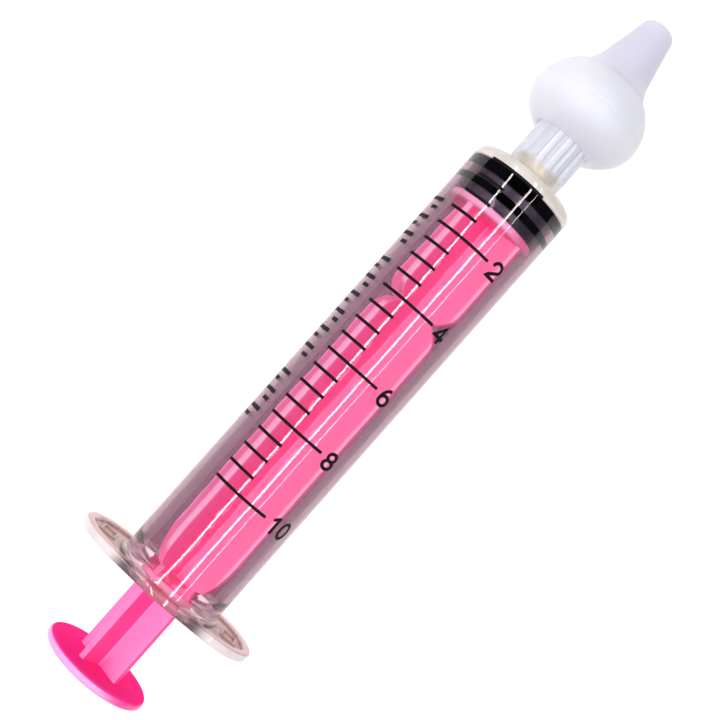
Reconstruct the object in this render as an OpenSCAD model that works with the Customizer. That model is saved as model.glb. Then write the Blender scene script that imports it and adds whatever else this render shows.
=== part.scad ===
// Ten millilitre slip-nozzle syringe with a soft nasal tip, lying on its finger flange.
// Everything is drawn along an upright axis, s, that starts just behind the barrel's mouth
// and runs towards the nozzle, and is laid down along +X at the end.

/* [Barrel] */
// Inner diameter of the barrel
bore_d = 14.9; // [14.5:0.1:15.1]
// Outer diameter of the barrel
barrel_d = 16.7; // [16.5:0.1:17.1]
// Distance from the start of s to the barrel's front face
barrel_len = 77.5; // [77.4:0.1:79]
// Thickness of the front wall
front_wall = 1.3; // [1.1:0.1:1.4]

/* [Finger flange] */
// Width of the flange, across both wings
flange_w = 30.2; // [28:0.2:34]
// Height of the flange, across its narrow way
flange_h = 18.6; // [18.6:0.2:20]
// Thickness of the flange
flange_t = 1.4; // [1.2:0.1:1.8]
// Radius of the flange's round ends
flange_end_r = 8; // [6.5:0.1:8.4]
// Width of the raised border round each wing
border_w = 1.2; // [0.9:0.1:1.5]

/* [Slip nozzle] */
// Diameter of the nozzle at its end
nozzle_d = 3.95; // [3.92:0.01:3.99]
// Length of the nozzle beyond the front face
nozzle_len = 9.4; // [8:0.1:9.6]
// Diameter of the channel through the nozzle
nozzle_bore_d = 2; // [1.6:0.1:2.2]

/* [Scale] */
// Millimetres of travel for one millilitre
ml_pitch = 5.735; // [5.6:0.005:5.8]
// Highest volume marked
ml_max = 10; // [6:2:10]
// Height of a numeral
digit_h = 2.8; // [2.2:0.1:3.2]
// Width of an ink stroke
ink_w = 0.45; // [0.25:0.01:0.5]

/* [Plunger] */
// Diameter across the wide ribs
cross_d = 13.4; // [12.8:0.1:13.8]
// Diameter across the narrow tail
tail_d = 8.8; // [8.4:0.1:10]
// Diameter of the small disc where the wide ribs end
guard_d = 9.4; // [9:0.1:11]
// Thickness of a rib
rib_t = 1; // [0.8:0.1:1.3]
// Turn of the ribs about the axis
rib_turn = -34; // [-45:1:45]
// Diameter of the thumb rest
thumb_d = 17; // [15:0.1:18.4]
// Thickness of the thumb rest
thumb_t = 1.3; // [1.2:0.1:1.8]

/* [Tip] */
// Largest diameter of the soft bulb
bulb_d = 17.8; // [17:0.1:18.6]
// Diameter of the fluted connector
hub_d = 8.8; // [8.6:0.1:9]
// Number of flutes round the connector
flutes = 16; // [12:1:20]
// Diameter of the outlet at the end of the tip
outlet_d = 1.6; // [1.2:0.1:2]

/* [Hidden] */
$fn = 96;
eps = 0.01;
mouth_s = 0.3;                    // the open end of the barrel and the rear face of its flange
flange_s = mouth_s + flange_t;
fit = 0.05;                       // radial clearance of a running or slipping fit
play = 0.3;                       // gap between pieces that turn or slide past each other
bore_r = bore_d / 2;
barrel_r = barrel_d / 2;
front_cone = 0.5;                 // rise of the conical front wall towards the nozzle
shoulder_r = 1.3;                 // rounding of the barrel's front corner
inner_front = barrel_len - front_wall;
zero_s = inner_front - 0.64;      // where the gasket's front edge stands at 0 ml
nozzle_taper = 0.06;              // slip taper, change of diameter along the length
nozzle_root_d = nozzle_d + nozzle_taper * nozzle_len;

bead_s = 3.6;                     // retaining bead inside the mouth
bead_h = 0.2;
bead_half = 0.9;
pocket_depth = 0.45;              // recess of the wings below their border
fillet_r = 0.4;                   // rounding between barrel and flange
collar_r = barrel_r + fillet_r;
pad = [3.8, 2.7, 0.38];           // small raised frame in each recess: up, across, height
pad_wall = 0.45;
pad_offset = 11.2;

ink_t = 0.04;
tick_step = 0.5;                  // millilitres between two ticks
tick_from = -41;                  // angles about the axis, from the top of the barrel
short_to = -9;
long_to = 23.6;
digit_w = 0.72 * digit_h;
digit_at = 36.5;
digit_advance = 16.5;
dash_from = -77;
dash_to = -55;
dash_pairs = 12;
dash_pitch = 3.21;
dash_gap = 1.4;                   // between the two dashes of a pair
dash_w = 0.62;
print_slant = 0.08;               // the print drifts round the barrel, degrees a millimetre
slant_start = zero_s - 3 * ml_pitch;

gasket_front = zero_s;
gasket_len = 5.4;
gasket_rear = gasket_front - gasket_len;
front_seal_w = 1.7;
rear_seal_w = 1.15;
seal_gap = 1.35;
waist_r = bore_r - 0.45;
neck_r = 2.2;
head_r = 3.2;
neck_len = 1.7;
head_len = 2;

disc_r = bore_r - 0.27;
disc_t = 1.15;
disc_front = gasket_rear - 0.1;
disc_rear = disc_front - disc_t;
notch_s = 52.9;                   // V notch across the wide ribs
notch_half = 3.4;
notch_depth = 2.9;
taper_from = 10.3;                // the wide ribs draw in to the tail from here
taper_to = 3;
guard_s = 0.9;                    // rear face of the small disc
guard_t = 1.4;
thumb_front = -13.2;
thumb_rear = thumb_front - thumb_t;

hub_s = barrel_len + front_cone + fit;
hub_r = hub_d / 2;
hub_collar = 1.7;                 // plain ring below the flutes
hub_top = hub_s + 8.9;
stem_r = 2.8;
stem_top = hub_top + 8.6;
flute_r = 0.42;
bulb_s = 90.2;                    // widest place of the bulb
bulb_low = 6.6;                   // half axes of the bulb below and above that place
bulb_high = 7.7;
tip_end = 106.9;
tip_end_r = 2.7;
tip_round = 1.5;
spout_from_r = 4.15;
spout_from = 98.9;

length_mid = (tip_end + thumb_rear) / 2;

// Lays a part down: s runs along +X, local x points up and local y to -Y.
module laid_down() {
  translate([-length_mid, 0, flange_h / 2])
    rotate([0, 90, 0])
      rotate([0, 0, 180])
        children();
}

// Points of an arc or ellipse about a centre, from one angle to another.
function arc(cx, cy, rx, ry, from, to, steps = 12) =
  [for (i = [0:steps]) let (a = from + (to - from) * i / steps) [cx + rx * cos(a), cy + ry * sin(a)]];

// Points of a quadratic curve between two ends, drawn towards one corner.
function bend(p, corner, q, steps = 10) =
  [for (i = [0:steps]) let (t = i / steps) (1 - t) * (1 - t) * p + 2 * t * (1 - t) * corner + t * t * q];

// ---- barrel -------------------------------------------------------------------------------

// Oval of a middle circle and two smaller end circles, joined by straight sides.
module flange_outline(inset = 0) {
  mid_r = flange_h / 2 - inset;
  end_r = flange_end_r - inset;
  end_at = flange_w / 2 - flange_end_r;
  lean = asin((mid_r - end_r) / end_at);
  polygon(concat(
    arc(0, 0, mid_r, mid_r, -lean, lean, 12), arc(0, end_at, end_r, end_r, lean, 180 - lean, 32),
    arc(0, 0, mid_r, mid_r, 180 - lean, 180 + lean, 12),
    arc(0, -end_at, end_r, end_r, 180 + lean, 360 - lean, 32)));
}

module barrel_wall() {
  rotate_extrude()
    polygon(concat(
      [[bore_r + 0.35, mouth_s], [collar_r, mouth_s]],
      arc(collar_r, flange_s + fillet_r, fillet_r, fillet_r, 270, 180, 6),
      arc(barrel_r - shoulder_r, barrel_len - shoulder_r, shoulder_r, shoulder_r, 0, 90, 8),
      [[nozzle_root_d / 2, barrel_len + front_cone], [nozzle_d / 2, barrel_len + nozzle_len],
       [nozzle_bore_d / 2, barrel_len + nozzle_len], [nozzle_bore_d / 2, inner_front + front_cone],
       [bore_r - 0.3, inner_front], [bore_r, inner_front - 0.3], [bore_r, bead_s + bead_half],
       [bore_r - bead_h, bead_s + bead_half / 3], [bore_r - bead_h, bead_s - bead_half / 3],
       [bore_r, bead_s - bead_half], [bore_r, mouth_s + 0.9]]));
}

module wing_pockets() {
  difference() {
    translate([0, 0, flange_s - pocket_depth])
      linear_extrude(pocket_depth + eps)
        flange_outline(border_w);
    cylinder(h = flange_s + eps, r = collar_r);
    for (side = [-1, 1])
      translate([0, side * pad_offset, 0])
        linear_extrude(flange_s - pocket_depth + pad[2])
          difference() {
            square([pad[0], pad[1]], center = true);
            square([pad[0] - 2 * pad_wall, pad[1] - 2 * pad_wall], center = true);
          }
  }
}

module barrel() {
  color([0.86, 0.84, 0.88, 0.45])
    laid_down() {
      barrel_wall();
      difference() {
        translate([0, 0, mouth_s]) linear_extrude(flange_t) flange_outline();
        cylinder(h = flange_s + eps, r = barrel_r);
        wing_pockets();
      }
    }
}

// ---- printed scale ------------------------------------------------------------------------

// How far the print has drifted round the barrel at a height.
function drift(s) = print_slant * (slant_start - s);

// A band of ink round the barrel, between two angles, centred on a height.
module ink_band(s, from, to, width = ink_w) {
  rotate([0, 0, from + drift(s)])
    rotate_extrude(angle = to - from)
      translate([barrel_r, s - width / 2])
        square([ink_t, width]);
}

module scale_lines() {
  color("black")
    laid_down()
      for (ml = [0:tick_step:ml_max])
        ink_band(zero_s - ml * ml_pitch, tick_from, ml % 2 == 0 ? long_to : short_to);
}

// Three groups of paired dashes: one whole, one short at alternate ends.
module side_dashes() {
  middle = (dash_from + dash_to) / 2;
  color("black")
    laid_down()
      for (i = [0:dash_pairs - 1])
        let (group_gap = (i > 2 ? 0.5 : 0) + (i > 8 ? 0.5 : 0),
             s = zero_s - 9.4 - (i + group_gap) * dash_pitch) {
          ink_band(s + dash_gap / 2, dash_from, dash_to, dash_w);
          ink_band(s - dash_gap / 2, i % 2 == 0 ? middle : dash_from,
                   i % 2 == 0 ? dash_to : middle, dash_w);
        }
}

// An open or closed loop of ink on an ellipse; 0 degrees points right.
module loop_stroke(cx, cy, rx, ry, from, to) {
  h = ink_w / 2;
  if (to - from >= 360)
    difference() {
      polygon(arc(cx, cy, rx + h, ry + h, 0, 350, 35));
      polygon(arc(cx, cy, rx - h, ry - h, 0, 350, 35));
    }
  else
    polygon(concat(arc(cx, cy, rx + h, ry + h, from, to, 18), arc(cx, cy, rx - h, ry - h, to, from, 18)));
}

// A straight stroke of ink between two points.
module bar_stroke(p, q) {
  d = q - p;
  translate(p)
    rotate(atan2(d[1], d[0]))
      translate([-ink_w / 4, -ink_w / 2])
        square([norm(d) + ink_w / 2, ink_w]);
}

// One numeral, centred on the origin.
module digit(n) {
  x = (digit_w - ink_w) / 2;
  y = (digit_h - ink_w) / 2;
  if (n == 0)
    loop_stroke(0, 0, x, y, 0, 360);
  if (n == 1) {
    bar_stroke([0, -y], [0, y]);
    bar_stroke([0, y], [-0.8 * x, y - 0.7 * x]);
  }
  if (n == 2) {
    loop_stroke(0, y - x, x, x, -30, 175);
    bar_stroke([x * cos(30), y - x - x * sin(30)], [-x, -y]);
    bar_stroke([-x, -y], [x, -y]);
  }
  if (n == 4) {
    bar_stroke([0.45 * x, -y], [0.45 * x, y]);
    bar_stroke([0.45 * x, y], [-x, -0.35 * y]);
    bar_stroke([-x, -0.35 * y], [x, -0.35 * y]);
  }
  if (n == 6) {
    loop_stroke(0, -0.42 * y, x, 0.58 * y, 0, 360);
    loop_stroke(0.15 * x, -0.35 * y, 1.15 * x, 1.35 * y, 80, 180);
  }
  if (n == 8) {
    loop_stroke(0, 0.5 * y, 0.85 * x, 0.5 * y, 0, 360);
    loop_stroke(0, -0.48 * y, x, 0.52 * y, 0, 360);
  }
}

// A numeral wrapped on the barrel at an angle, its top towards the nozzle.
module wrapped_digit(n, s, angle) {
  rotate([0, 0, angle])
    intersection() {
      translate([barrel_r - 1, 0, s])
        rotate([90, 0, 90])
          linear_extrude(2)
            digit(n);
      difference() {
        translate([0, 0, s - digit_h]) cylinder(h = 2 * digit_h, r = barrel_r + ink_t);
        translate([0, 0, s - digit_h - eps]) cylinder(h = 2 * digit_h + 2 * eps, r = barrel_r);
      }
    }
}

module scale_numbers() {
  color("black")
    laid_down()
      for (ml = [2:2:ml_max])
        let (s = zero_s - ml * ml_pitch - 0.2) {
          wrapped_digit(floor(ml / (ml > 9 ? 10 : 1)), s, digit_at + drift(s) + (ml > 9 ? 1 : 0));
          if (ml > 9)
            wrapped_digit(ml % 10, s, digit_at + drift(s) + digit_advance);
        }
}

// ---- gasket -------------------------------------------------------------------------------

// Outline of a flat-topped sealing rib with rounded edges, ending at a height.
function seal(r, top, width, edge = 0.3) = concat(
  arc(r - edge, top - width + edge, edge, edge, -90, 0, 4), arc(r - edge, top - edge, edge, edge, 0, 90, 4));

module gasket() {
  seal_r = bore_r - fit;
  second = gasket_front - front_seal_w - seal_gap;
  color([0.07, 0.07, 0.09])
    laid_down()
      difference() {
        rotate_extrude()
          polygon(concat(
            [[0, gasket_rear], [waist_r - 0.2, gasket_rear], [waist_r, gasket_rear + 0.2],
             [waist_r, second - rear_seal_w - 0.1]],
            seal(seal_r, second, rear_seal_w),
            [[waist_r, second + 0.1], [waist_r, gasket_front - front_seal_w - 0.1]],
            seal(seal_r, gasket_front, front_seal_w),
            [[1.4, gasket_front + front_cone], [0, gasket_front + front_cone]]));
        translate([0, 0, gasket_rear - eps])
          cylinder(h = neck_len, r = neck_r + play);
        translate([0, 0, gasket_rear + neck_len - play])
          cylinder(h = head_len + 2 * play, r = head_r + play);
      }
}

// ---- plunger rod --------------------------------------------------------------------------

// Half outline of a rib: radius against s, from the thumb rest to the front disc.
function rib_edge() =
  let (r = cross_d / 2, t = tail_d / 2,
       turn = 2 * atan(notch_depth / notch_half), bow = notch_half / sin(turn))
  concat(
    [[0, thumb_front - 0.4], [t, thumb_front - 0.4], [t, taper_to]],
    [for (i = [1:10]) let (a = 90 * i / 10)
      [t + (r - t) * sin(a), taper_to + (taper_from - taper_to) * (1 - cos(a))]],
    [for (i = [0:10]) let (a = turn * i / 10)
      [r - bow * (1 - cos(a)), notch_s - notch_half + bow * sin(a)]],
    [for (i = [10:-1:0]) let (a = turn * i / 10)
      [r - bow * (1 - cos(a)), notch_s + notch_half - bow * sin(a)]],
    [[r, disc_rear + 0.3], [0, disc_rear + 0.3]]);

module rib_plate() {
  rotate([90, 0, 0])
    translate([0, 0, -rib_t / 2])
      linear_extrude(rib_t) {
        polygon(rib_edge());
        mirror([1, 0]) polygon(rib_edge());
      }
}

module thumb_rest() {
  edge = 0.45;
  rotate_extrude()
    polygon(concat(
      [[0, thumb_rear]],
      arc(thumb_d / 2 - edge, thumb_rear + edge, edge, edge, -90, 0, 5),
      arc(thumb_d / 2 - edge, thumb_front - edge, edge, edge, 0, 90, 5),
      [[0, thumb_front]]));
}

module front_disc() {
  round_r = disc_t / 2;
  rotate_extrude()
    polygon(concat(
      [[0, disc_rear]],
      arc(disc_r - round_r, disc_rear + round_r, round_r, round_r, -90, 90, 10),
      [[0, disc_front]]));
}

module plunger_rod() {
  color([1, 0.27, 0.57])
    laid_down() {
      rotate([0, 0, rib_turn]) rib_plate();
      rotate([0, 0, rib_turn + 90]) rib_plate();
      thumb_rest();
      translate([0, 0, guard_s]) cylinder(h = guard_t, d = guard_d);
      front_disc();
      translate([0, 0, disc_front - eps])
        cylinder(h = gasket_rear + neck_len - disc_front + 2 * eps, r = neck_r);
      translate([0, 0, gasket_rear + neck_len])
        cylinder(h = head_len, r = head_r);
    }
}

// ---- nozzle connector and soft tip --------------------------------------------------------

module tip_connector() {
  socket_r = nozzle_root_d / 2 + fit;
  nozzle_end = barrel_len + nozzle_len;
  color([0.93, 0.92, 0.95, 0.7])
    laid_down()
      difference() {
        rotate_extrude()
          polygon([[nozzle_bore_d / 2, hub_s], [hub_r - 0.6, hub_s], [hub_r - 0.1, hub_s + 0.5],
                   [hub_r - 0.1, hub_s + hub_collar], [hub_r, hub_s + hub_collar + 0.2],
                   [hub_r, hub_top], [stem_r, hub_top], [stem_r, stem_top - 0.5],
                   [stem_r - 0.5, stem_top], [nozzle_bore_d / 2, stem_top]]);
        translate([0, 0, barrel_len + front_cone])
          cylinder(h = nozzle_len - front_cone, r1 = socket_r, r2 = nozzle_d / 2 + fit);
        translate([0, 0, nozzle_end - eps])
          cylinder(h = play + eps, r = nozzle_d / 2 + fit);
        for (i = [0:flutes - 1])
          rotate([0, 0, (i + 0.5) * 360 / flutes])
            translate([hub_r + 0.12, 0, hub_s + hub_collar + 0.2])
              cylinder(h = hub_top, r = flute_r, $fn = 24);
      }
}

module nasal_tip() {
  low = acos((hub_r + 0.8) / (bulb_d / 2));
  high = acos(0.61);
  mouth_s = bulb_s - bulb_low * sin(low);
  shoulder = [bulb_d / 2 * cos(high), bulb_s + bulb_high * sin(high)];
  color([0.95, 0.94, 0.98])
    laid_down()
      difference() {
        rotate_extrude()
          polygon(concat(
            [[hub_r + 0.1, mouth_s + 1], [hub_r + 0.22, mouth_s + 0.45], [hub_r + 0.48, mouth_s + 0.1]],
            arc(0, bulb_s, bulb_d / 2, bulb_low, -low, 0, 20),
            arc(0, bulb_s, bulb_d / 2, bulb_high, high / 20, high, 16),
            bend(shoulder, [spout_from_r + 0.3, spout_from - 1.2], [spout_from_r, spout_from]),
            arc(tip_end_r - tip_round, tip_end - tip_round, tip_round, tip_round, 10, 90, 8),
            [[outlet_d / 2, tip_end], [outlet_d / 2, stem_top + play],
             [stem_r + fit, stem_top + play], [stem_r + fit, hub_top + play],
             [hub_r + 0.1, hub_top + play]]));
      }
}

barrel();
scale_lines();
scale_numbers();
side_dashes();
gasket();
plunger_rod();
tip_connector();
nasal_tip();
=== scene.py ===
"""Looks for the oral syringe: a clear graduated barrel, pink plunger, black gasket,
fluted connector and soft white nasal tip, lying on a pale table and seen from above."""
import bpy
import bmesh
from math import sin, cos, pi, radians, sqrt, atan2, asin, hypot
from mathutils import Vector, Matrix


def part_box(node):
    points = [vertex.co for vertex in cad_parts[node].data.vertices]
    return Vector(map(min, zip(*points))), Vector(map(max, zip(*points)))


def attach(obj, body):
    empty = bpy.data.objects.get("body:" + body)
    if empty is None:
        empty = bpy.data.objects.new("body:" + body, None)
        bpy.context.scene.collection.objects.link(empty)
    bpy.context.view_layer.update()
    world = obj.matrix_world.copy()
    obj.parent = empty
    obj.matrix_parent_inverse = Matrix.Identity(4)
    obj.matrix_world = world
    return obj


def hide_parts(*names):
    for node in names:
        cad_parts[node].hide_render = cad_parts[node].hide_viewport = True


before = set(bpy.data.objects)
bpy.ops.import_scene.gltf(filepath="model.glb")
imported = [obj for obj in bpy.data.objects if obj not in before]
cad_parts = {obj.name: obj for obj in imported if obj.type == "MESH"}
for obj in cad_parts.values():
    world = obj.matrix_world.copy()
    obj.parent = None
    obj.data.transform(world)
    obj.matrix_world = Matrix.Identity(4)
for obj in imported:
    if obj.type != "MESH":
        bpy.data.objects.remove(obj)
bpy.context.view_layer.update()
MM = 0.001

# ---- places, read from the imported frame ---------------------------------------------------
barrel_low, barrel_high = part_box("barrel")
rod_low, rod_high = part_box("plunger_rod")
tip_low, tip_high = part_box("nasal_tip")
gasket_low, gasket_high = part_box("gasket")
hub_low, hub_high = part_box("tip_connector")

AXIS_H = (barrel_low.z + barrel_high.z) / 2      # height of the syringe's axis
MOUTH_S = 0.3                                    # the barrel's open end, in millimetres along s
START_X = barrel_low.x - MOUTH_S * MM            # where s = 0


def along(x):
    """Distance s of a place along the axis, in millimetres."""
    return (x - START_X) / MM


def at(s):
    """Place x of a distance s along the axis."""
    return START_X + s * MM


FLANGE_HALF_W = (barrel_high.y - barrel_low.y) / 2 / MM
FLANGE_HALF_H = (barrel_high.z - barrel_low.z) / 2 / MM
NOZZLE_END = along(barrel_high.x)
THUMB_REAR = along(rod_low.x)
THUMB_R = (rod_high.y - rod_low.y) / 2 / MM
GASKET_REAR = along(gasket_low.x)
GASKET_CONE = along(gasket_high.x)
SEAL_R = (gasket_high.y - gasket_low.y) / 2 / MM
HUB_S = along(hub_low.x)
STEM_TOP = along(hub_high.x)
HUB_R = (hub_high.y - hub_low.y) / 2 / MM
TIP_END = along(tip_high.x)
BULB_R = (tip_high.y - tip_low.y) / 2 / MM

# ---- driving sizes of the mouldings, in millimetres ---------------------------------------
# barrel
BARREL_R, BORE_R = 8.35, SEAL_R + 0.05
NOZZLE_LEN, NOZZLE_R, NOZZLE_ROOT_R, NOZZLE_BORE_R = 9.4, 1.975, 2.257, 1.0
BARREL_LEN = NOZZLE_END - NOZZLE_LEN
FRONT_WALL, FRONT_CONE, FRONT_ROUND = 1.3, 0.5, 1.3
INNER_FRONT = BARREL_LEN - FRONT_WALL
# finger flange: its front face, its round ends, the recessed wings and their raised frames
FLANGE_S = MOUTH_S + 1.4
FLANGE_END_R = 8.0
FLANGE_EDGE = 0.35
BORDER_W, POCKET = 1.2, 0.45
PAD_UP, PAD_ACROSS, PAD_WALL, PAD_HEIGHT, PAD_AT = 3.8, 2.7, 0.45, 0.22, 11.2
FILLET = 0.4
COLLAR_R = BARREL_R + FILLET
# printed scale
ZERO_S = INNER_FRONT - 0.64
ML_PITCH = 5.735
INK_W, INK_T, INK_GAP = 0.45, 0.03, 0.004
PRINT_SLANT = 0.08               # degrees that the print drifts round the barrel in a millimetre
SLANT_START = ZERO_S - 3 * ML_PITCH
# gasket
FRONT_SEAL_W, REAR_SEAL_W, SEAL_GAP = 1.7, 1.15, 1.35
CONTACT = 0.012                  # the squeezed rubber wets the bore, so no air shows between them
# plunger: the crossed ribs, their taper and notch, and the three discs
CROSS_R, TAIL_R, RIB_T, RIB_TURN = 6.7, 4.4, 1.0, -34.0
TAPER_TO, TAPER_FROM = 3.0, 10.3
NOTCH_S, NOTCH_HALF, NOTCH_DEPTH = 52.9, 3.4, 2.9
THUMB_FRONT = THUMB_REAR + 1.3
GUARD_S, GUARD_R, GUARD_T = 0.9, 4.7, 1.4
DISC_FRONT = GASKET_REAR - 0.1
DISC_REAR = DISC_FRONT - 1.15
DISC_R = BORE_R - 0.27
# connector
HUB_LEN, COLLAR_LEN = 8.9, 1.7
STEM_R, STEM_BORE_R = 2.8, 1.0
FLUTES, FLUTE_DEPTH, FLUTE_WIDTH = 16, 0.32, 0.62
# soft tip: the bulb's widest place, its half lengths to the rear and the front, and the spout
BULB_S, BULB_BACK, BULB_AHEAD = 90.2, 6.55, 7.7
SEAM_S, SEAM_DEPTH = 90.7, 0.05
SPOUT_S, SPOUT_R, SPOUT_END_R, SPOUT_ROUND = 98.9, 4.15, 2.7, 1.5
OUTLET_R = 0.8

# ---- colours ------------------------------------------------------------------------------
# the third colour is painted shade, put on the wall behind the bore
CLEAR_COLOUR, LAMP_TINT, FAR_WALL_SHADE = (0.99, 0.975, 0.985), (0.97, 0.95, 0.96), (0.26, 0.165, 0.205)
DEPTH_TINT, DEPTH_DENSITY = (0.45, 0.03, 0.23), 300.0
# the first colour here is a painted highlight for the flange's rim; the next line holds painted shade
# for the recesses and their corners
FLANGE_RIM_HIGHLIGHT, FLANGE_COLOUR, FLANGE_MILK = (0.78, 0.70, 0.71), (0.80, 0.57, 0.54), 0.94
FLANGE_RECESS_SHADE, FLANGE_CORNER_SHADE = (0.48, 0.285, 0.27), (0.06, 0.03, 0.03)
FRONT_COLOUR, FRONT_MILK = (0.83, 0.78, 0.72), 0.72
BORE_WAVE, SKIN_WAVE = 0.15, 0.004
# lit and shaded copies of the pink: painted shade, painted light, and painted sheen on edges and rims
PINK_IN_SHADE, PINK_IN_SHADE_PALER = (0.95, 0.03, 0.255), (0.97, 0.04, 0.28)
PINK_LIT, PINK_EDGE_SHEEN = (0.90, 0.215, 0.42), (0.96, 0.45, 0.66)
PINK_TAIL_LIT, PINK_RIM_SHEEN = (0.78, 0.20, 0.46), (0.76, 0.34, 0.64)
RUBBER_DARK, RUBBER_LIGHT = (0.024, 0.024, 0.035), (0.055, 0.055, 0.078)
# painted shade for the seals pressed on the bore
RUBBER_PRESSED_SHADE = (0.001, 0.001, 0.002)
INK_DARK, INK_LIGHT = (0.002, 0.002, 0.003), (0.008, 0.007, 0.008)
HUB_DARK, HUB_LIGHT, HUB_IVORY = (0.55, 0.56, 0.625), (0.62, 0.63, 0.685), (0.64, 0.59, 0.52)
BULB_DARK, BULB_LIGHT, SPOUT_COLOUR = (0.60, 0.61, 0.665), (0.66, 0.665, 0.715), (0.535, 0.53, 0.625)
TABLE_DARK, TABLE_LIGHT = (0.90, 0.895, 0.89), (0.93, 0.925, 0.92)


# ---- mesh helpers -------------------------------------------------------------------------
def place(s, r, angle):
    """Point at s along the axis and radius r; angle 0 is up, positive towards -Y."""
    return Vector((at(s), -r * sin(angle) * MM, AXIS_H + r * cos(angle) * MM))


def crease(bm, angle):
    """Keeps the edges that bend by more than an angle sharp."""
    for edge in bm.edges:
        if len(edge.link_faces) == 2 and edge.calc_face_angle(0) > angle:
            edge.smooth = False


def finish_mesh(name, bm, material, body, smooth_angle=None):
    """Turns a bmesh into a smooth-shaded object that rides on a body."""
    bmesh.ops.remove_doubles(bm, verts=bm.verts, dist=1e-8)
    bmesh.ops.recalc_face_normals(bm, faces=bm.faces)
    for face in bm.faces:
        face.smooth = True
    if smooth_angle is not None:
        crease(bm, smooth_angle)
    mesh = bpy.data.meshes.new(name)
    bm.to_mesh(mesh)
    bm.free()
    obj = bpy.data.objects.new(name, mesh)
    bpy.context.scene.collection.objects.link(obj)
    mesh.materials.append(material)
    if body:
        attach(obj, body)
    return obj


def join_rings(bm, rings, closed=False, capped=False):
    """Adds quads between rings of vertices; the ends are joined, capped or left open."""
    pairs = list(zip(rings, rings[1:]))
    if closed:
        pairs.append((rings[-1], rings[0]))
    for a, b in pairs:
        for i in range(len(a)):
            j = (i + 1) % len(a)
            bm.faces.new((a[i], a[j], b[j], b[i]))
    if capped:
        bm.faces.new(rings[0])
        bm.faces.new(rings[-1])


def loops_mesh(loops, **ends):
    """A tube through rings of points, all with the same count."""
    bm = bmesh.new()
    join_rings(bm, [[bm.verts.new(p) for p in ring] for ring in loops], **ends)
    return bm


def circle(s, r, steps):
    """Points of a circle about the axis."""
    return [place(s, r, 2 * pi * i / steps) for i in range(steps)]


def lathe(profile, steps, **ends):
    """Turns a profile of (s, r) points round the axis."""
    return loops_mesh([circle(s, r, steps) for s, r in profile], **ends)


def arc(cs, cr, rs, rr, start, end, steps=8):
    """Points (s, r) on an ellipse about (cs, cr); 0 degrees points along +s, 90 outwards."""
    angles = [radians(start + (end - start) * i / steps) for i in range(steps + 1)]
    return [(cs + rs * cos(a), cr + rr * sin(a)) for a in angles]


def smoothstep(x, low, high):
    """Rises smoothly from 0 at low to 1 at high."""
    t = min(1.0, max(0.0, (x - low) / (high - low)))
    return t * t * (3 - 2 * t)


# ---- node helpers -------------------------------------------------------------------------
def new_material(name):
    """A new material, with its node tree and shader."""
    mat = bpy.data.materials.new(name)
    mat.use_nodes = True
    return mat, mat.node_tree, mat.node_tree.nodes["Principled BSDF"]


def feed(tree, socket, value):
    """Sets a socket to a number or a colour, or links another socket to it."""
    if isinstance(value, tuple):
        socket.default_value = (*value, 1)
    elif isinstance(value, (int, float)):
        socket.default_value = value
    else:
        tree.links.new(value, socket)


def set_inputs(node, values):
    """Sets a node's sockets by name."""
    for name, value in values.items():
        node.inputs[name].default_value = value


def coordinates(tree, kind="Object"):
    """The three parts of a place in object space, or of its normal."""
    coord = tree.nodes.new("ShaderNodeTexCoord")
    split = tree.nodes.new("ShaderNodeSeparateXYZ")
    tree.links.new(coord.outputs[kind], split.inputs["Vector"])
    return split.outputs["X"], split.outputs["Y"], split.outputs["Z"]


def add_noise(tree, scale, detail=3.0, stretch=(1, 1, 1), rough=0.5):
    """Noise in object space; stretch scales each axis."""
    coord = tree.nodes.new("ShaderNodeTexCoord")
    mapping = tree.nodes.new("ShaderNodeMapping")
    mapping.inputs["Scale"].default_value = stretch
    tree.links.new(coord.outputs["Object"], mapping.inputs["Vector"])
    noise = tree.nodes.new("ShaderNodeTexNoise")
    set_inputs(noise, {"Scale": scale, "Detail": detail, "Roughness": rough})
    tree.links.new(mapping.outputs["Vector"], noise.inputs["Vector"])
    return noise.outputs["Fac"]


def openness(tree, distance, samples):
    """How open a place is within a distance in millimetres: 1 in the open, less in a corner."""
    node = tree.nodes.new("ShaderNodeAmbientOcclusion")
    node.only_local = True
    node.samples = samples
    node.inputs["Distance"].default_value = distance * MM
    return node.outputs["AO"]


def ramp(tree, source, stops):
    """A colour for a number, through (position, colour) stops."""
    node = tree.nodes.new("ShaderNodeValToRGB")
    while len(node.color_ramp.elements) < len(stops):
        node.color_ramp.elements.new(0.5)
    for element, (position, colour) in zip(node.color_ramp.elements, stops):
        element.position = position
        element.color = (*colour, 1)
    tree.links.new(source, node.inputs["Fac"])
    return node.outputs["Color"]


def ease(tree, source, zero_at, one_at):
    """A smooth mask of a number: 0 at one value, 1 at another."""
    node = tree.nodes.new("ShaderNodeMapRange")
    node.interpolation_type = "SMOOTHSTEP"
    set_inputs(node, {"From Min": zero_at, "From Max": one_at})
    tree.links.new(source, node.inputs["Value"])
    return node.outputs["Result"]


def calc(tree, operation, *values):
    """One sum on numbers or sockets."""
    node = tree.nodes.new("ShaderNodeMath")
    node.operation = operation
    for socket, value in zip(node.inputs, values):
        feed(tree, socket, value)
    return node.outputs["Value"]


def product(tree, first, *others):
    """Several masks or numbers multiplied together."""
    for other in others:
        first = calc(tree, "MULTIPLY", first, other)
    return first


def mix_colour(tree, mask, low, high):
    """Mixes two colours, each a tuple or a socket, by a mask."""
    node = tree.nodes.new("ShaderNodeMix")
    node.data_type = "RGBA"
    tree.links.new(mask, node.inputs[0])
    feed(tree, node.inputs[6], low)
    feed(tree, node.inputs[7], high)
    return node.outputs[2]


def from_axis(tree, y, z):
    """Distance of a place from the syringe's axis."""
    over = calc(tree, "SUBTRACT", z, AXIS_H)
    square = calc(tree, "ADD", product(tree, over, over), product(tree, y, y))
    return calc(tree, "SQRT", square)


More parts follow.
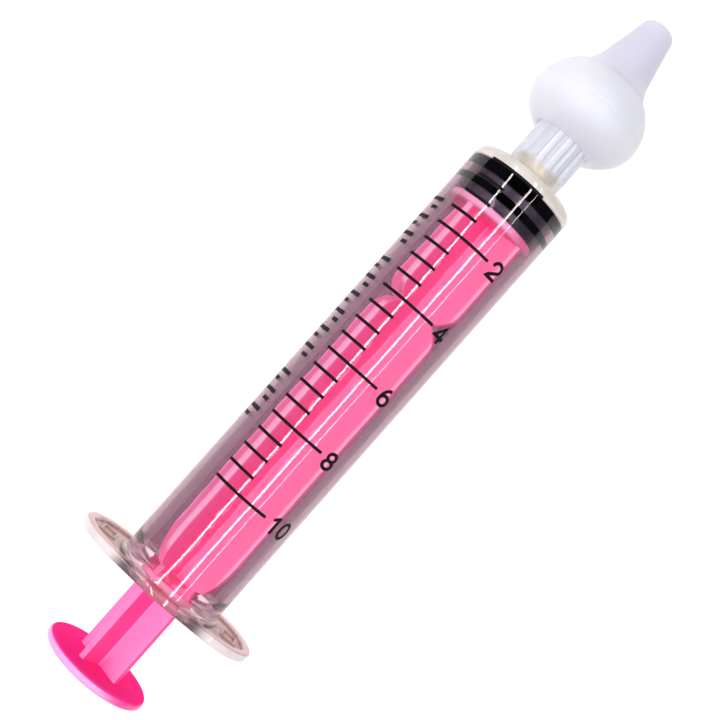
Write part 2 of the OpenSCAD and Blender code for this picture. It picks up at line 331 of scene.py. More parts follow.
def add_bump(tree, shader, height, strength, distance):
    """Bumps on a shader; distance is in millimetres."""
    bump = tree.nodes.new("ShaderNodeBump")
    set_inputs(bump, {"Strength": strength, "Distance": distance * MM})
    tree.links.new(height, bump.inputs["Height"])
    tree.links.new(bump.outputs["Normal"], shader.inputs["Normal"])


# ---- materials ----------------------------------------------------------------------------
def clear_plastic():
    """Clear moulded plastic: tinted by its depth, milky where it is thick, wavy inside the bore, with
    painted shade on the wall behind the bore and painted light and shade on the flange's wings.
    """
    mat, tree, shader = new_material("clear_plastic")
    x, y, z = coordinates(tree)
    facing_x = coordinates(tree, "Normal")[0]
    flange = ease(tree, x, at(FLANGE_S + 1.2), at(FLANGE_S))
    front = ease(tree, x, at(INNER_FRONT - 0.8), at(INNER_FRONT - 0.55))
    wing = ease(tree, calc(tree, "ABSOLUTE", y), 6.0 * MM, 9.0 * MM)
    wing = calc(tree, "MULTIPLY_ADD", wing, 0.86, 0.14)
    face = ease(tree, facing_x, 0.3, 0.8)
    # the flange and the front wall are milky, in soft clouds
    cloud = ramp(tree, add_noise(tree, 420, 4), [(0.3, (0.86,) * 3), (0.7, (1, 1, 1))])
    milky = calc(tree, "MAXIMUM", product(tree, flange, wing, FLANGE_MILK),
                 product(tree, front, FRONT_MILK))
    milky = product(tree, milky, cloud)
    feed(tree, shader.inputs["Transmission Weight"], calc(tree, "SUBTRACT", 1.0, milky))
    # distance from the axis tells the bore's skin from the outer one; the wall behind the bore is
    # painted darker than the wall in front, a painted shade for the shaded table under the barrel, and
    # its skins are met the other way round
    inside = ease(tree, from_axis(tree, y, z), (BORE_R + 0.5) * MM, (BORE_R + 0.2) * MM)
    geometry = tree.nodes.new("ShaderNodeNewGeometry")
    far_wall_shade_mask = calc(tree, "ABSOLUTE", calc(tree, "SUBTRACT", inside, geometry.outputs["Backfacing"]))
    wall = mix_colour(tree, far_wall_shade_mask, CLEAR_COLOUR, FAR_WALL_SHADE)
    # the wings: a pale border, a rim painted paler as a painted highlight, painted shade in the darker
    # recesses, and dark painted shade in the corners round the raised frames
    recess = product(tree, face, ease(tree, x, at(FLANGE_S - 0.04), at(FLANGE_S - 0.18)))
    # painted shade: an occlusion mask darkens the corners round the raised frames
    corner = ease(tree, openness(tree, 0.9, 6), 0.97, 0.62)
    wings = mix_colour(tree, face, FLANGE_RIM_HIGHLIGHT, FLANGE_COLOUR)
    wings = mix_colour(tree, recess, wings, FLANGE_RECESS_SHADE)
    wings = mix_colour(tree, corner, wings, FLANGE_CORNER_SHADE)
    thick = mix_colour(tree, front, wings, FRONT_COLOUR)
    either = calc(tree, "MAXIMUM", flange, front)
    feed(tree, shader.inputs["Base Color"], mix_colour(tree, either, wall, thick))
    # the wings' faces are satin: the table does not shine in them
    dull = product(tree, face, flange, wing, 0.45)
    feed(tree, shader.inputs["Specular IOR Level"], calc(tree, "SUBTRACT", 0.5, dull))
    set_inputs(shader, {"IOR": 1.49, "Roughness": 0.03})
    # waves on the upper side of the bore, hardly any on the outer skin
    upper = ease(tree, calc(tree, "SUBTRACT", z, AXIS_H), 5.0 * MM, 7.0 * MM)
    waves = calc(tree, "ADD", product(tree, inside, upper, BORE_WAVE), SKIN_WAVE)
    ripple = add_noise(tree, 150, 2, (1.5, 1.9, 1.9), 0.4)
    add_bump(tree, shader, product(tree, ripple, waves), 1.0, 1.0)
    # lamps shine through it with hardly a tint
    through = tree.nodes.new("ShaderNodeBsdfTransparent")
    feed(tree, through.inputs["Color"], LAMP_TINT)
    path = tree.nodes.new("ShaderNodeLightPath")
    surface = tree.nodes.new("ShaderNodeMixShader")
    tree.links.new(path.outputs["Is Shadow Ray"], surface.inputs["Fac"])
    tree.links.new(shader.outputs["BSDF"], surface.inputs[1])
    tree.links.new(through.outputs["BSDF"], surface.inputs[2])
    out = tree.nodes["Material Output"]
    tree.links.new(surface.outputs["Shader"], out.inputs["Surface"])
    absorb = tree.nodes.new("ShaderNodeVolumeAbsorption")
    feed(tree, absorb.inputs["Color"], DEPTH_TINT)
    feed(tree, absorb.inputs["Density"], DEPTH_DENSITY)
    tree.links.new(absorb.outputs["Volume"], out.inputs["Volume"])
    return mat


def pink_plastic():
    """Glossy pink plastic with painted light and shade: deep in its corners and end faces as painted
    shade, paler on ribs and rims as painted light and sheen.
    """
    mat, tree, shader = new_material("pink_plastic")
    x, y, z = coordinates(tree)
    facing_x, facing_y, _ = coordinates(tree, "Normal")
    # the front face of the thumb rest stays deep: painted shade
    side_lit = calc(tree, "MAXIMUM", ease(tree, facing_x, 0.85, 0.25), ease(tree, x, at(-11), at(-8)))
    tail = ease(tree, x, at(0.8), at(-0.2))
    # the ribs' faces that look to -Y throw their own colour back and forth; they get painted shade, so
    # they are deeper
    shaded = product(tree, ease(tree, facing_y, -0.3, -0.7), calc(tree, "MULTIPLY_ADD", tail, 0.3, 0.55))
    # painted shade in the corners, painted light on the open faces
    light = product(tree, ease(tree, openness(tree, 5, 8), 0.2, 0.55),
                    calc(tree, "SUBTRACT", 1.0, shaded))
    # the small disc near the mouth is painted lit all round
    guard = product(tree, ease(tree, x, at(3), at(2.4)), ease(tree, x, at(0), at(0.6)))
    lit_mask = calc(tree, "MAXIMUM", guard, light)
    # the thumb rest's rim and the ribs' outer edges are painted paler: painted sheen
    rim = product(tree, ease(tree, x, at(THUMB_REAR + 1.5), at(THUMB_REAR + 1.1)),
                  ease(tree, calc(tree, "ABSOLUTE", facing_x), 0.8, 0.5))
    outer = ease(tree, from_axis(tree, y, z), 6.1 * MM, 6.5 * MM)
    pale = mix_colour(tree, outer, PINK_LIT, PINK_EDGE_SHEEN)
    pale = mix_colour(tree, tail, pale, PINK_TAIL_LIT)
    pale = mix_colour(tree, rim, pale, PINK_RIM_SHEEN)
    tone = add_noise(tree, 60, 3, (0.4, 1, 1))
    deep = ramp(tree, tone, [(0.3, PINK_IN_SHADE), (0.7, PINK_IN_SHADE_PALER)])
    pink = mix_colour(tree, product(tree, side_lit, lit_mask), deep, pale)
    feed(tree, shader.inputs["Base Color"], pink)
    feed(tree, shader.inputs["Specular IOR Level"], product(tree, side_lit, 0.25))
    set_inputs(shader, {"Roughness": 0.3, "IOR": 1.5, "Subsurface Weight": 0.25,
                        "Subsurface Radius": (1.0, 0.25, 0.45), "Subsurface Scale": 0.0012})
    add_bump(tree, shader, add_noise(tree, 260, 4, (0.25, 1, 1)), 0.35, 0.03)
    return mat


def black_rubber():
    """Black rubber, matt, with a painted deeper black where the seals are pressed on the bore: the
    contact is real, the extra darkness is painted shade.
    """
    mat, tree, shader = new_material("black_rubber")
    _, y, z = coordinates(tree)
    # painted shade: the seals pressed on the bore get a deeper black and no shine
    pressed = ease(tree, from_axis(tree, y, z), (BORE_R - 0.12) * MM, (BORE_R - 0.02) * MM)
    tone = add_noise(tree, 200, 4)
    colour = ramp(tree, tone, [(0.3, RUBBER_DARK), (0.75, RUBBER_LIGHT)])
    feed(tree, shader.inputs["Base Color"], mix_colour(tree, pressed, colour, RUBBER_PRESSED_SHADE))
    feed(tree, shader.inputs["Specular IOR Level"],
         calc(tree, "SUBTRACT", 0.5, product(tree, pressed, 0.5)))
    feed(tree, shader.inputs["Roughness"], ramp(tree, tone, [(0.2, (0.25,) * 3), (0.8, (0.42,) * 3)]))
    add_bump(tree, shader, add_noise(tree, 2500, 3), 0.3, 0.01)
    return mat


def black_ink():
    """Dull black ink, a little uneven."""
    mat, tree, shader = new_material("black_ink")
    tone = add_noise(tree, 3000, 3)
    feed(tree, shader.inputs["Base Color"], ramp(tree, tone, [(0.3, INK_DARK), (0.8, INK_LIGHT)]))
    set_inputs(shader, {"Roughness": 0.6, "Specular IOR Level": 0.15})
    add_bump(tree, shader, tone, 0.4, 0.008)
    return mat


def frosted_plastic():
    """Translucent plastic, lavender in the flutes, ivory and clearer in the plain collar."""
    mat, tree, shader = new_material("frosted_plastic")
    collar = ease(tree, coordinates(tree)[0], at(HUB_S + 2.2), at(HUB_S + 1.5))
    tone = add_noise(tree, 500, 3)
    body = ramp(tree, tone, [(0.3, HUB_DARK), (0.8, HUB_LIGHT)])
    feed(tree, shader.inputs["Base Color"], mix_colour(tree, collar, body, HUB_IVORY))
    feed(tree, shader.inputs["Transmission Weight"], calc(tree, "MULTIPLY_ADD", collar, 0.4, 0.2))
    set_inputs(shader, {"Roughness": 0.22, "IOR": 1.49, "Subsurface Weight": 0.3,
                        "Subsurface Radius": (1, 1, 1), "Subsurface Scale": 0.001})
    add_bump(tree, shader, tone, 0.1, 0.005)
    return mat


def white_silicone():
    """Milky silicone, a little more lavender towards the spout."""
    mat, tree, shader = new_material("white_silicone")
    spout = ease(tree, coordinates(tree)[0], at(93), at(101))
    bulb = ramp(tree, add_noise(tree, 110, 3), [(0.3, BULB_DARK), (0.75, BULB_LIGHT)])
    feed(tree, shader.inputs["Base Color"], mix_colour(tree, spout, bulb, SPOUT_COLOUR))
    set_inputs(shader, {"Roughness": 0.38, "IOR": 1.41, "Subsurface Weight": 1.0,
                        "Subsurface Radius": (1.0, 0.95, 0.9), "Subsurface Scale": 0.003})
    add_bump(tree, shader, add_noise(tree, 900, 4), 0.25, 0.02)
    return mat


CLEAR = clear_plastic()
PINK = pink_plastic()
RUBBER = black_rubber()
INK = black_ink()
FROSTED = frosted_plastic()
SILICONE = white_silicone()


# ---- barrel -------------------------------------------------------------------------------
def flange_r(angle, inset=0.0):
    """Distance from the axis to the flange's outline: a middle circle, straight sides, round ends."""
    mid_r, end_r = FLANGE_HALF_H - inset, FLANGE_END_R - inset
    end_at = FLANGE_HALF_W - FLANGE_END_R
    lean = asin((mid_r - end_r) / end_at)
    a = abs(atan2(sin(angle), cos(angle)))
    a = min(a, pi - a)
    if a < lean:
        return mid_r
    if a < atan2(end_at + end_r * sin(lean), end_r * cos(lean)):
        return mid_r / cos(a - lean)
    return end_at * sin(a) + sqrt(end_r ** 2 - (end_at * cos(a)) ** 2)


def wing_height(angle, r):
    """Height of the flange's front face: recessed wings with a raised frame, inside a border."""
    inner = flange_r(angle, BORDER_W)
    recess = POCKET * smoothstep(inner - r, 0.0, 0.2) * smoothstep(inner - COLLAR_R, 0.05, 0.5)
    up, side = abs(r * cos(angle)), abs(r * sin(angle))
    edge = abs(max(up - (PAD_UP - PAD_WALL) / 2, abs(side - PAD_AT) - (PAD_ACROSS - PAD_WALL) / 2))
    raised = PAD_HEIGHT * smoothstep(PAD_WALL / 2 + 0.05 - edge, 0.0, 0.1)
    return FLANGE_S - recess + raised * smoothstep(recess, 0.2, 0.4)


def tube_profile():
    """The (s, r) outline from the flange over the nozzle and back through the bore to the mouth."""
    outer = arc(FLANGE_S + FILLET, COLLAR_R, FILLET, FILLET, 180, 270, 6)[1:]
    wall = [(s, BARREL_R) for s in range(8, 80, 8)]
    side = arc(BARREL_LEN - FRONT_ROUND, BARREL_R - FRONT_ROUND, FRONT_ROUND, FRONT_ROUND, 90, 0, 14)
    front = [(BARREL_LEN, 6.2), (BARREL_LEN + 0.12, 5.2), (BARREL_LEN + 0.3, 3.8),
             (BARREL_LEN + FRONT_CONE - 0.05, 2.7), (BARREL_LEN + FRONT_CONE + 0.2, NOZZLE_ROOT_R),
             (NOZZLE_END - 0.15, NOZZLE_R), (NOZZLE_END, NOZZLE_R - 0.15),
             (NOZZLE_END, NOZZLE_BORE_R), (INNER_FRONT + FRONT_CONE + 0.1, NOZZLE_BORE_R),
             (INNER_FRONT + FRONT_CONE - 0.1, NOZZLE_BORE_R + 0.3)]
    inner = arc(INNER_FRONT - 0.5, BORE_R - 0.5, 0.5, 0.5, 0, 90, 6)
    bore = [(s, BORE_R) for s in (*range(72, 0, -8), 5.2, 4.6)]
    bead = [(4.2, BORE_R - 0.1), (3.9, BORE_R - 0.19), (3.6, BORE_R - 0.2), (3.3, BORE_R - 0.19),
            (3.0, BORE_R - 0.1), (2.6, BORE_R), (1.2, BORE_R + 0.02)]
    mouth = [(MOUTH_S + 0.6, BORE_R + 0.1), (MOUTH_S + 0.2, BORE_R + 0.3), (MOUTH_S, BORE_R + 0.6)]
    return outer + wall + side + front + inner + bore + bead + mouth


def make_barrel():
    """Tube, nozzle and finger flange as one closed skin."""
    steps = 320
    # the points crowd towards the wings, which carry the finest detail
    angles = [t + 0.22 * sin(2 * t) for t in (2 * pi * i / steps for i in range(steps))]
    loops = [[place(s, r, a) for a in angles] for s, r in tube_profile()]
    # rear face, rim and front face of the flange, from the mouth outwards and back in
    edge = FLANGE_EDGE
    for share in (0.35, 0.7, 1.0):
        loops.append([place(MOUTH_S, (BORE_R + 0.6) * (1 - share) + (flange_r(a) - edge) * share, a)
                      for a in angles])
    quarter = [radians(90 * k / 5) for k in range(6)]
    for t in quarter[1:]:
        loops.append([place(MOUTH_S + edge - edge * cos(t), flange_r(a) - edge + edge * sin(t), a)
                      for a in angles])
    for t in quarter:
        loops.append([place(FLANGE_S - edge + edge * sin(t), flange_r(a) - edge + edge * cos(t), a)
                      for a in angles])
    rows = 44
    for share in (k / rows for k in range(1, rows + 1)):
        radii = [(a, (flange_r(a) - edge) * (1 - share) + COLLAR_R * share) for a in angles]
        loops.append([place(wing_height(a, r), r, a) for a, r in radii])
    obj = finish_mesh("clear_barrel", loops_mesh(loops, closed=True), CLEAR, "barrel", radians(50))
    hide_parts("barrel")


# ---- printed scale ------------------------------------------------------------------------
def drift(s):
    """How far the print has drifted round the barrel, in degrees."""
    return PRINT_SLANT * (SLANT_START - s)


def ink_band(bm, s, start, end, width=INK_W):
    """A curved strip of ink on the barrel between two angles, in degrees."""
    steps = max(4, int(abs(end - start) / 1.5))
    start, end = start + drift(s), end + drift(s)
    low, high = BARREL_R + INK_GAP, BARREL_R + INK_GAP + INK_T
    half = width / 2
    rings = []
    for i in range(steps + 1):
        a = radians(start + (end - start) * i / steps)
        rings.append([bm.verts.new(place(s + ds, r, a)) for ds, r in
                      ((-half, low), (-half * 0.9, high), (half * 0.9, high), (half, low))])
    join_rings(bm, rings, capped=True)


def make_scale_lines():
    """A line every half millilitre, long ones at the even millilitres."""
    bm = bmesh.new()
    for i in range(21):
        ink_band(bm, ZERO_S - i * 0.5 * ML_PITCH, -41, 23.6 if i % 4 == 0 else -9)
    obj = finish_mesh("printed_lines", bm, INK, "barrel", radians(30))
    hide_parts("scale_lines")


def make_side_dashes():
    """Three groups of paired dashes where the maker prints words."""
    bm = bmesh.new()
    left, middle, right = -77, -66, -55
    pitch, gap, width = 3.21, 1.4, 0.62
    for i in range(12):
        s = ZERO_S - 9.4 - (i + 0.5 * (i > 2) + 0.5 * (i > 8)) * pitch
        short = (middle, right) if i % 2 == 0 else (left, middle)
        ink_band(bm, s + gap / 2, left, right, width)
        ink_band(bm, s - gap / 2, *short, width)
    obj = finish_mesh("printed_dashes", bm, INK, "barrel", radians(30))
    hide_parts("side_dashes")


def numeral_strokes(character, x, y):
    """Strokes of a plain numeral inside half width x and half height y."""
    if character == "0":
        return [arc(0, 0, x, y, 90, 450, 40)]
    if character == "1":
        return [[(0.25 * x, -y), (0.25 * x, y)], [(0.25 * x, y), (-0.65 * x, y - 0.62 * x)]]
    if character == "2":
        foot = [(-0.75 * x, -0.72 * y), (-x, -y), (x, -y)]
        return [arc(0, y - 0.95 * x, x, 0.95 * x, 172, -28, 20) + foot]
    if character == "4":
        return [[(0.42 * x, -y), (0.42 * x, y), (-x, -0.38 * y), (x * 1.05, -0.38 * y)]]
    if character == "6":
        stem = arc(0.3 * x, -0.35 * y, 1.3 * x, 1.35 * y, 180, 92, 14)
        return [arc(0, -0.4 * y, x, 0.6 * y, 180, -180, 36) + stem]
    return [arc(0, 0.5 * y, 0.86 * x, 0.5 * y, -90, 270, 36),
            arc(0, -0.48 * y, x, 0.52 * y, 90, 450, 36)]


def ink_stroke(bm, path, width, wrap):
    """A flat stroke of ink with square ends along a path; wrap puts (across, along) on the barrel."""
    points = [Vector(p) for p in path]
    endless = (points[0] - points[-1]).length < 1e-6
    if endless:
        points = points[:-1]
    last = len(points) - 1
    rings = []
    for k, p in enumerate(points):
        before = points[k - 1] if k or endless else p
        after = points[(k + 1) % len(points)] if k < last or endless else p
        a = (p - before).normalized() if (p - before).length > 1e-9 else (after - p).normalized()
        b = (after - p).normalized() if (after - p).length > 1e-9 else a
        ahead = (a + b).normalized()
        side = Vector((-ahead.y, ahead.x)) * min(2.0, 1 / max(0.3, ahead.dot(a))) * width / 2
        if not endless and k in (0, last):
            p = p + ahead * width * (0.3 if k else -0.3)
        rings.append([bm.verts.new(wrap(p + side * sign, high)) for sign, high in
                      ((-1, False), (-1, True), (1, True), (1, False))])
    join_rings(bm, rings, closed=endless, capped=not endless)


def make_scale_numbers():
    """Numerals 2 to 10, wrapped round the barrel with their tops towards the nozzle."""
    height, width, stroke = 2.9, 2.15, 0.5
    bm = bmesh.new()
    for ml in (2, 4, 6, 8, 10):
        s_mid = ZERO_S - ml * ML_PITCH - 0.2
        for index, character in enumerate(str(ml)):
            middle = radians(drift(s_mid) + (36.8 if ml < 10 else (37.0, 53.0)[index]))

            def wrap(point, high):
                r = BARREL_R + INK_GAP + (INK_T if high else 0)
                return place(s_mid + point.y, r, middle + point.x / BARREL_R)

            for path in numeral_strokes(character, (width - stroke) / 2, (height - stroke) / 2):
                ink_stroke(bm, path, stroke, wrap)
    obj = finish_mesh("printed_numbers", bm, INK, "barrel", radians(30))
    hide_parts("scale_numbers")


# ---- gasket -------------------------------------------------------------------------------
def make_gasket():
    """Rubber gasket: a skirt, a narrow rear seal, a wide front seal and a cone."""
    waist, edge, touch = SEAL_R - 0.24, 0.1, BORE_R + CONTACT
    rear, front = GASKET_REAR, ZERO_S

    def seal(top, width):
        return ([(top - width - 0.1, waist)] +
                arc(top - width + edge, touch - edge, edge, edge, 180, 90, 5) +
                arc(top - edge, touch - edge, edge, edge, 90, 0, 5) + [(top + 0.1, waist)])

    profile = [(rear + 1.2, 0.0001), (rear + 1.2, 2.4), (rear, 2.5), (rear, waist - 0.25),
               (rear + 0.25, waist)]
    profile += seal(front - FRONT_SEAL_W - SEAL_GAP, REAR_SEAL_W) + seal(front, FRONT_SEAL_W)[:-1]
    profile += [(front + 0.1, SEAL_R - 0.8), (GASKET_CONE, 1.4), (GASKET_CONE, 0.0001)]
    obj = finish_mesh("rubber_gasket", lathe(profile, 192), RUBBER, "gasket", radians(40))
    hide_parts("gasket")


# ---- plunger rod --------------------------------------------------------------------------
def rib_radius(s):
    """How far the ribs reach from the axis at s."""
    if s < TAPER_TO:
        return TAIL_R
    if s < TAPER_FROM:
        t = (TAPER_FROM - s) / (TAPER_FROM - TAPER_TO)
        return TAIL_R + (CROSS_R - TAIL_R) * sqrt(max(0.0, 1 - t * t))
    bow_r = NOTCH_HALF / sin(2 * atan2(NOTCH_DEPTH, NOTCH_HALF))
    off = abs(s - NOTCH_S)
    if off < NOTCH_HALF:
        return CROSS_R - bow_r * (1 - sqrt(max(0.0, 1 - ((NOTCH_HALF - off) / bow_r) ** 2)))
    return CROSS_R


def cross_section(r):
    """Outline of the crossed ribs: (up, right) points with rounded tips and filleted corners."""
    half, tip, fillet = RIB_T / 2, 0.22, 0.35
    root = half + fillet
    flat = r - tip - half - fillet
    rib = arc(r - tip, -half + tip, tip, -tip, 90, 0, 3) + arc(r - tip, half - tip, tip, tip, 0, 90, 3)
    rib += [(root + flat * share, half) for share in (0.66, 0.33)]
    rib += arc(root, root, fillet, fillet, 270, 180, 4)
    rib += [(half, root + flat * share) for share in (0.33, 0.66)]
    points = []
    for turn in range(4):
        c, s = cos(turn * pi / 2), sin(turn * pi / 2)
        points += [(x * c - y * s, x * s + y * c) for x, y in rib]
    return points


def union(base, other):
    """Joins one closed mesh into another and removes what is inside."""
    mod = base.modifiers.new("union", "BOOLEAN")
    mod.operation = "UNION"
    mod.solver = "EXACT"
    mod.object = other
    bpy.context.view_layer.update()
    deps = bpy.context.evaluated_depsgraph_get()
    mesh = bpy.data.meshes.new_from_object(base.evaluated_get(deps))
    base.modifiers.clear()
    base.data = mesh
    bpy.data.objects.remove(other)


def ribs_mesh():
    """The crossed ribs from the thumb rest to the front disc, with stations crowded at the curves."""
    notch_rear = NOTCH_S - NOTCH_HALF
    stations = [THUMB_FRONT - 0.5, -8, -3, 0, 2, TAPER_TO]
    stations += [TAPER_TO + (TAPER_FROM - TAPER_TO) * (1 - cos(radians(90 * k / 12)))
                 for k in range(1, 13)]
    stations += [20, 30, 40, 46, notch_rear]
    stations += [NOTCH_S - NOTCH_HALF * (1 - k / 10) for k in range(1, 10)]
    stations += [NOTCH_S + NOTCH_HALF * k / 10 for k in range(0, 11)]
    stations += [60, 65, DISC_REAR + 0.4]
    turn = radians(RIB_TURN)
    loops = []
    for s in stations:
        ring = []
        for x, y in cross_section(rib_radius(s)):
            up, right = x * cos(turn) - y * sin(turn), x * sin(turn) + y * cos(turn)
            ring.append(place(s, hypot(up, right), atan2(right, up)))
        loops.append(ring)
    return loops_mesh(loops, capped=True)


def make_plunger():
    """The ribs joined with the thumb rest, the front disc and the small disc at the mouth."""
    rod = finish_mesh("pink_plunger", ribs_mesh(), PINK, None)
    edge = 0.5
    rest = [(THUMB_REAR + 0.12, 0.0001), (THUMB_REAR + 0.12, 5.6), (THUMB_REAR, 6.2)]
    rest += arc(THUMB_REAR + edge, THUMB_R - edge, edge, edge, 180, 90, 6)
    rest += arc(THUMB_FRONT - edge, THUMB_R - edge, edge, edge, 90, 0, 6)
    rest += [(THUMB_FRONT, 7.2), (THUMB_FRONT - 0.08, 6.9), (THUMB_FRONT - 0.08, 0.0001)]
    disc = [(DISC_REAR, 0.0001)] + arc(DISC_REAR + edge, DISC_R - edge, edge, edge, 180, 90, 6)
    disc += arc(DISC_FRONT - edge, DISC_R - edge, edge, edge, 90, 0, 6) + [(DISC_FRONT, 2.2)]
    disc += [(DISC_FRONT + 1.0, 2.2), (DISC_FRONT + 1.0, 0.0001)]
    lip = 0.2
    guard = [(GUARD_S, 0.0001)] + arc(GUARD_S + lip, GUARD_R - lip, lip, lip, 180, 90, 4)
    guard += arc(GUARD_S + GUARD_T - lip, GUARD_R - lip, lip, lip, 90, 0, 4)
    guard += [(GUARD_S + GUARD_T, 0.0001)]
    for name, profile in (("rest", rest), ("disc", disc), ("guard", guard)):
        union(rod, finish_mesh(name, lathe(profile, 160), PINK, None))
    for polygon in rod.data.polygons:
        polygon.use_smooth = True
    bm = bmesh.new()
    bm.from_mesh(rod.data)
    crease(bm, radians(38))
    bm.to_mesh(rod.data)
    bm.free()
    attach(rod, "plunger")
    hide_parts("plunger_rod")


# ---- connector and tip --------------------------------------------------------------------
def make_connector():
    """Hub with a plain collar and flutes, and a hollow stem; the flutes fade in over 0.8 mm."""
    steps = 16 * FLUTES
    top, flutes_s = HUB_S + HUB_LEN, HUB_S + COLLAR_LEN
    collar = [(HUB_S + 0.02, 2.6), (HUB_S, HUB_R - 0.75), (HUB_S + 0.12, HUB_R - 0.45),
              (HUB_S + 0.5, HUB_R - 0.1), (flutes_s - 0.1, HUB_R - 0.08)]
    fluted = [flutes_s + 0.15 + 0.2 * k for k in range(4)]
    fluted += [flutes_s + 1.2 + k * 1.1 for k in range(6)] + [top]
    stem = [(top, STEM_R), (STEM_TOP - 0.5, STEM_R), (STEM_TOP, STEM_R - 0.5),
            (STEM_TOP, STEM_BORE_R), (NOZZLE_END + 0.3, STEM_BORE_R),
            (NOZZLE_END + 0.3, NOZZLE_R + 0.05), (HUB_S + 0.5, NOZZLE_ROOT_R + 0.05),
            (HUB_S + 0.02, NOZZLE_ROOT_R + 0.15)]
    loops = [circle(s, r, steps) for s, r in collar]
    for s in fluted:
        depth = FLUTE_DEPTH * smoothstep(s, flutes_s, flutes_s + 0.8)
        ring = []
        for i in range(steps):
            a = 2 * pi * i / steps
            groove = max(0.0, 1 - (sin(FLUTES * a / 2) / FLUTE_WIDTH) ** 2)
            ring.append(place(s, HUB_R - depth * groove ** 0.7, a))
        loops.append(ring)
    loops += [circle(s, r, steps) for s, r in stem]
    obj = finish_mesh("fluted_connector", loops_mesh(loops, closed=True), FROSTED, "connector",
                      radians(45))
    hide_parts("tip_connector")


def make_tip():
    """Silicone bulb with a fine mould seam, a tapered spout, an outlet and a hollow for the stem."""
    def bulb(half_length, angle):
        return BULB_S + half_length * sin(radians(angle)), BULB_R * cos(radians(angle))

    rear_angle, front_angle = 54.0, 52.4
    skin = [bulb(-BULB_BACK, rear_angle * (1 - k / 24)) for k in range(25)]
    skin += [bulb(BULB_AHEAD, front_angle * k / 22) for k in range(1, 23)]
    mouth = skin[0][0]
    start, pull, end = Vector(skin[-1]), Vector((97.7, 4.45)), Vector((SPOUT_S, SPOUT_R))
    for t in (k / 10 for k in range(1, 11)):
        skin.append(tuple((1 - t) ** 2 * start + 2 * t * (1 - t) * pull + t * t * end))
    nose_s = TIP_END - SPOUT_ROUND
    skin += [(SPOUT_S + (nose_s - SPOUT_S) * k / 6, SPOUT_R + (SPOUT_END_R - SPOUT_R) * k / 6)
             for k in range(1, 6)]
    skin += arc(nose_s, SPOUT_END_R - SPOUT_ROUND, SPOUT_ROUND, SPOUT_ROUND, 82, 0, 12)
    seam = []
    for ds, dent in ((-0.12, 0.0), (-0.04, SEAM_DEPTH), (0.04, SEAM_DEPTH), (0.12, 0.0)):
        s = SEAM_S + ds
        seam.append((s, BULB_R * sqrt(1 - ((s - BULB_S) / BULB_AHEAD) ** 2) - dent))
    skin = sorted([p for p in skin if abs(p[0] - SEAM_S) > 0.16] + seam)
    outlet = [(TIP_END - 0.08, OUTLET_R + 0.06), (TIP_END - 0.3, OUTLET_R), (STEM_TOP + 0.3, OUTLET_R)]
    seat, mouth_r, seat_r = HUB_S + HUB_LEN + 0.3, HUB_R + 0.1, STEM_R + 0.05
    inside = [(STEM_TOP + 0.3, seat_r), (seat, seat_r), (seat, mouth_r), (mouth + 1.0, mouth_r),
              (mouth + 0.45, mouth_r + 0.12), (mouth + 0.2, mouth_r + 0.26),
              (mouth + 0.08, mouth_r + 0.42)]
    bm = lathe(skin + outlet + inside, 192, closed=True)
    obj = finish_mesh("silicone_tip", bm, SILICONE, "tip", radians(60))
    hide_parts("nasal_tip")


make_barrel()
make_scale_lines()
make_scale_numbers()
make_side_dashes()
make_gasket()
make_plunger()
make_connector()
make_tip()

# ---- table, light and camera --------------------------------------------------------------
STRIP_REACH, STRIP_LENGTH = 0.55, 0.6            # metres from the axis, and along it
# name, lean and skew in degrees, width in metres, watts
STRIPS = (("strip_left", -60, 0, 0.5, 1.3), ("strip_near_left", -21, 24, 0.034, 1.25),
          ("strip_near_right", 17.5, 0, 0.04, 1.25), ("strip_right", 33, 0, 0.016, 0.42))


def make_table():
    """A plain pale table just under the syringe."""
    bm = bmesh.new()
    size = 1.6
    bm.faces.new([bm.verts.new((x * size, y * size, 0))
                  for x, y in ((-1, -1), (1, -1), (1, 1), (-1, 1))])
    mat, tree, shader = new_material("table")
    colour = ramp(tree, add_noise(tree, 6, 2), [(0.2, TABLE_DARK), (0.8, TABLE_LIGHT)])
    feed(tree, shader.inputs["Base Color"], colour)
    shader.inputs["Roughness"].default_value = 0.8
    obj = finish_mesh("table", bm, mat, None)
    obj.location.z = -0.0001


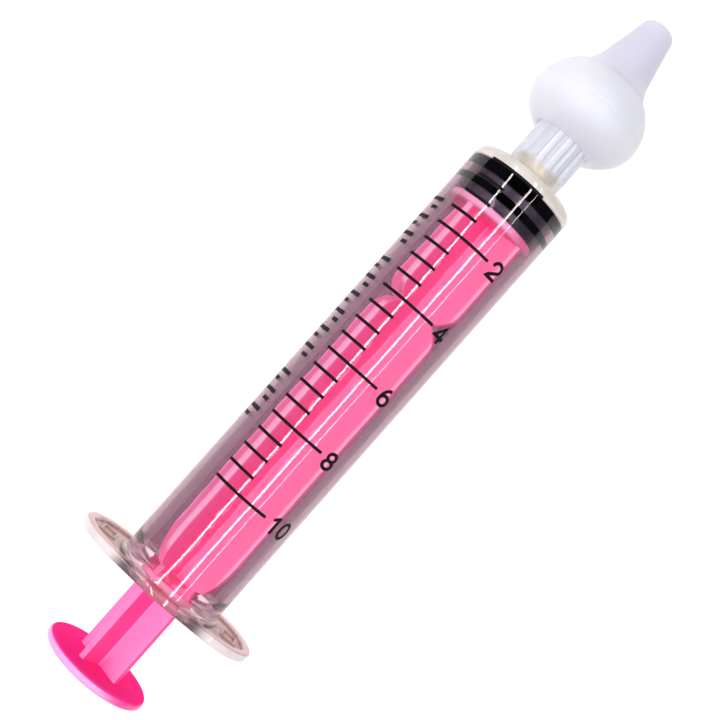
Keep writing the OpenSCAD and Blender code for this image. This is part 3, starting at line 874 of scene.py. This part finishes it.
def strip(name, lean, skew, width, power):
    """A long lamp above the barrel, leaning towards -Y and turned by skew; it casts no shadow."""
    data = bpy.data.lights.new(name, "AREA")
    data.shape = "RECTANGLE"
    data.size, data.size_y = STRIP_LENGTH, width
    data.energy = power
    data.use_shadow = False
    obj = bpy.data.objects.new(name, data)
    bpy.context.scene.collection.objects.link(obj)
    a = radians(lean)
    centre = Vector((0, -STRIP_REACH * sin(a), AXIS_H + STRIP_REACH * cos(a)))
    away = (centre - Vector((0, 0, AXIS_H))).normalized()
    across = away.cross(Vector((1, 0, 0))).normalized()
    axes = Matrix((away.cross(across) * -1, across, away)).transposed()
    obj.matrix_world = (Matrix.Translation(centre) @ axes.to_4x4()
                        @ Matrix.Rotation(radians(skew), 4, "Z"))
    obj.visible_glossy = width < 0.1             # the wide one only fills


def make_lights():
    """Four strips in a grey room; glossy surfaces see a darker room than the table does."""
    world = bpy.data.worlds.new("studio")
    world.use_nodes = True
    bpy.context.scene.world = world
    tree = world.node_tree
    height = coordinates(tree, "Generated")[2]
    sky = ramp(tree, height, [(0.0, (0.30, 0.26, 0.29)), (0.30, (0.62, 0.57, 0.60)), (1.0, (1, 1, 1))])
    room = ramp(tree, height, [(0.45, (0.10, 0.09, 0.10)), (0.62, (0.14, 0.13, 0.14)),
                               (0.85, (0.035, 0.035, 0.04)), (1.0, (0.01, 0.01, 0.014))])
    path = tree.nodes.new("ShaderNodeLightPath")
    back = tree.nodes["Background"]
    feed(tree, back.inputs["Color"], mix_colour(tree, path.outputs["Is Glossy Ray"], sky, room))
    back.inputs["Strength"].default_value = 0.68
    for settings in STRIPS:
        strip(*settings)


def make_camera():
    """The camera, a little behind the syringe's middle and 174 mm above its axis."""
    data = bpy.data.cameras.new("camera")
    data.sensor_width = 36.0
    data.lens = 61.43
    data.clip_start = 0.005
    obj = bpy.data.objects.new("camera", data)
    bpy.context.scene.collection.objects.link(obj)
    centre = Vector((-0.0034, 0, AXIS_H))
    stand = centre + Vector((-0.00495, 0, 0.17389))
    look = Vector((0.02836, 0.00483, -0.99959)).normalized()
    up = Vector((0.74718, 0.66417, 0.02441))
    right = look.cross(up).normalized()
    up = right.cross(look)
    obj.matrix_world = Matrix.Translation(stand) @ Matrix((right, up, -look)).transposed().to_4x4()
    bpy.context.scene.camera = obj


make_table()
make_lights()
make_camera()
bpy.context.scene.view_settings.view_transform = "Standard"
